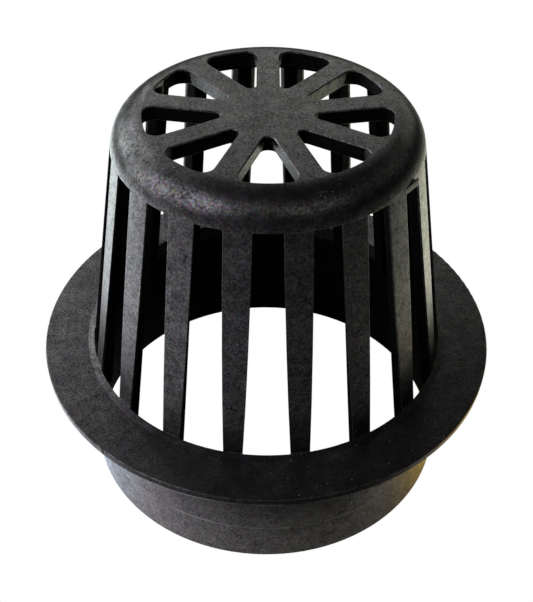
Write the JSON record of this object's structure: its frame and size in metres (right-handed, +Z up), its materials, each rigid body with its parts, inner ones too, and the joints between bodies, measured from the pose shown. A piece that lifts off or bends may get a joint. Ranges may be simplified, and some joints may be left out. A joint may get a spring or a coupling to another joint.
{
  "type": "atrium grate",
  "caption": "Black plastic dome grate for a yard drain: slotted bars rise from a round flange to a flat spoked cap, with a plain spigot below.",
  "frame": {"origin": "centre of the spigot's bottom rim", "axes": "+Z up along the axis of the spigot and the dome, -Y towards the front of the picture"},
  "size_m": [0.1302, 0.1302, 0.1134],
  "materials": {
    "grate": "black moulded plastic, dull, with a fine grain"
  },
  "bodies": {
    "root": {"grate": "grate"}
  },
  "joints": []
}
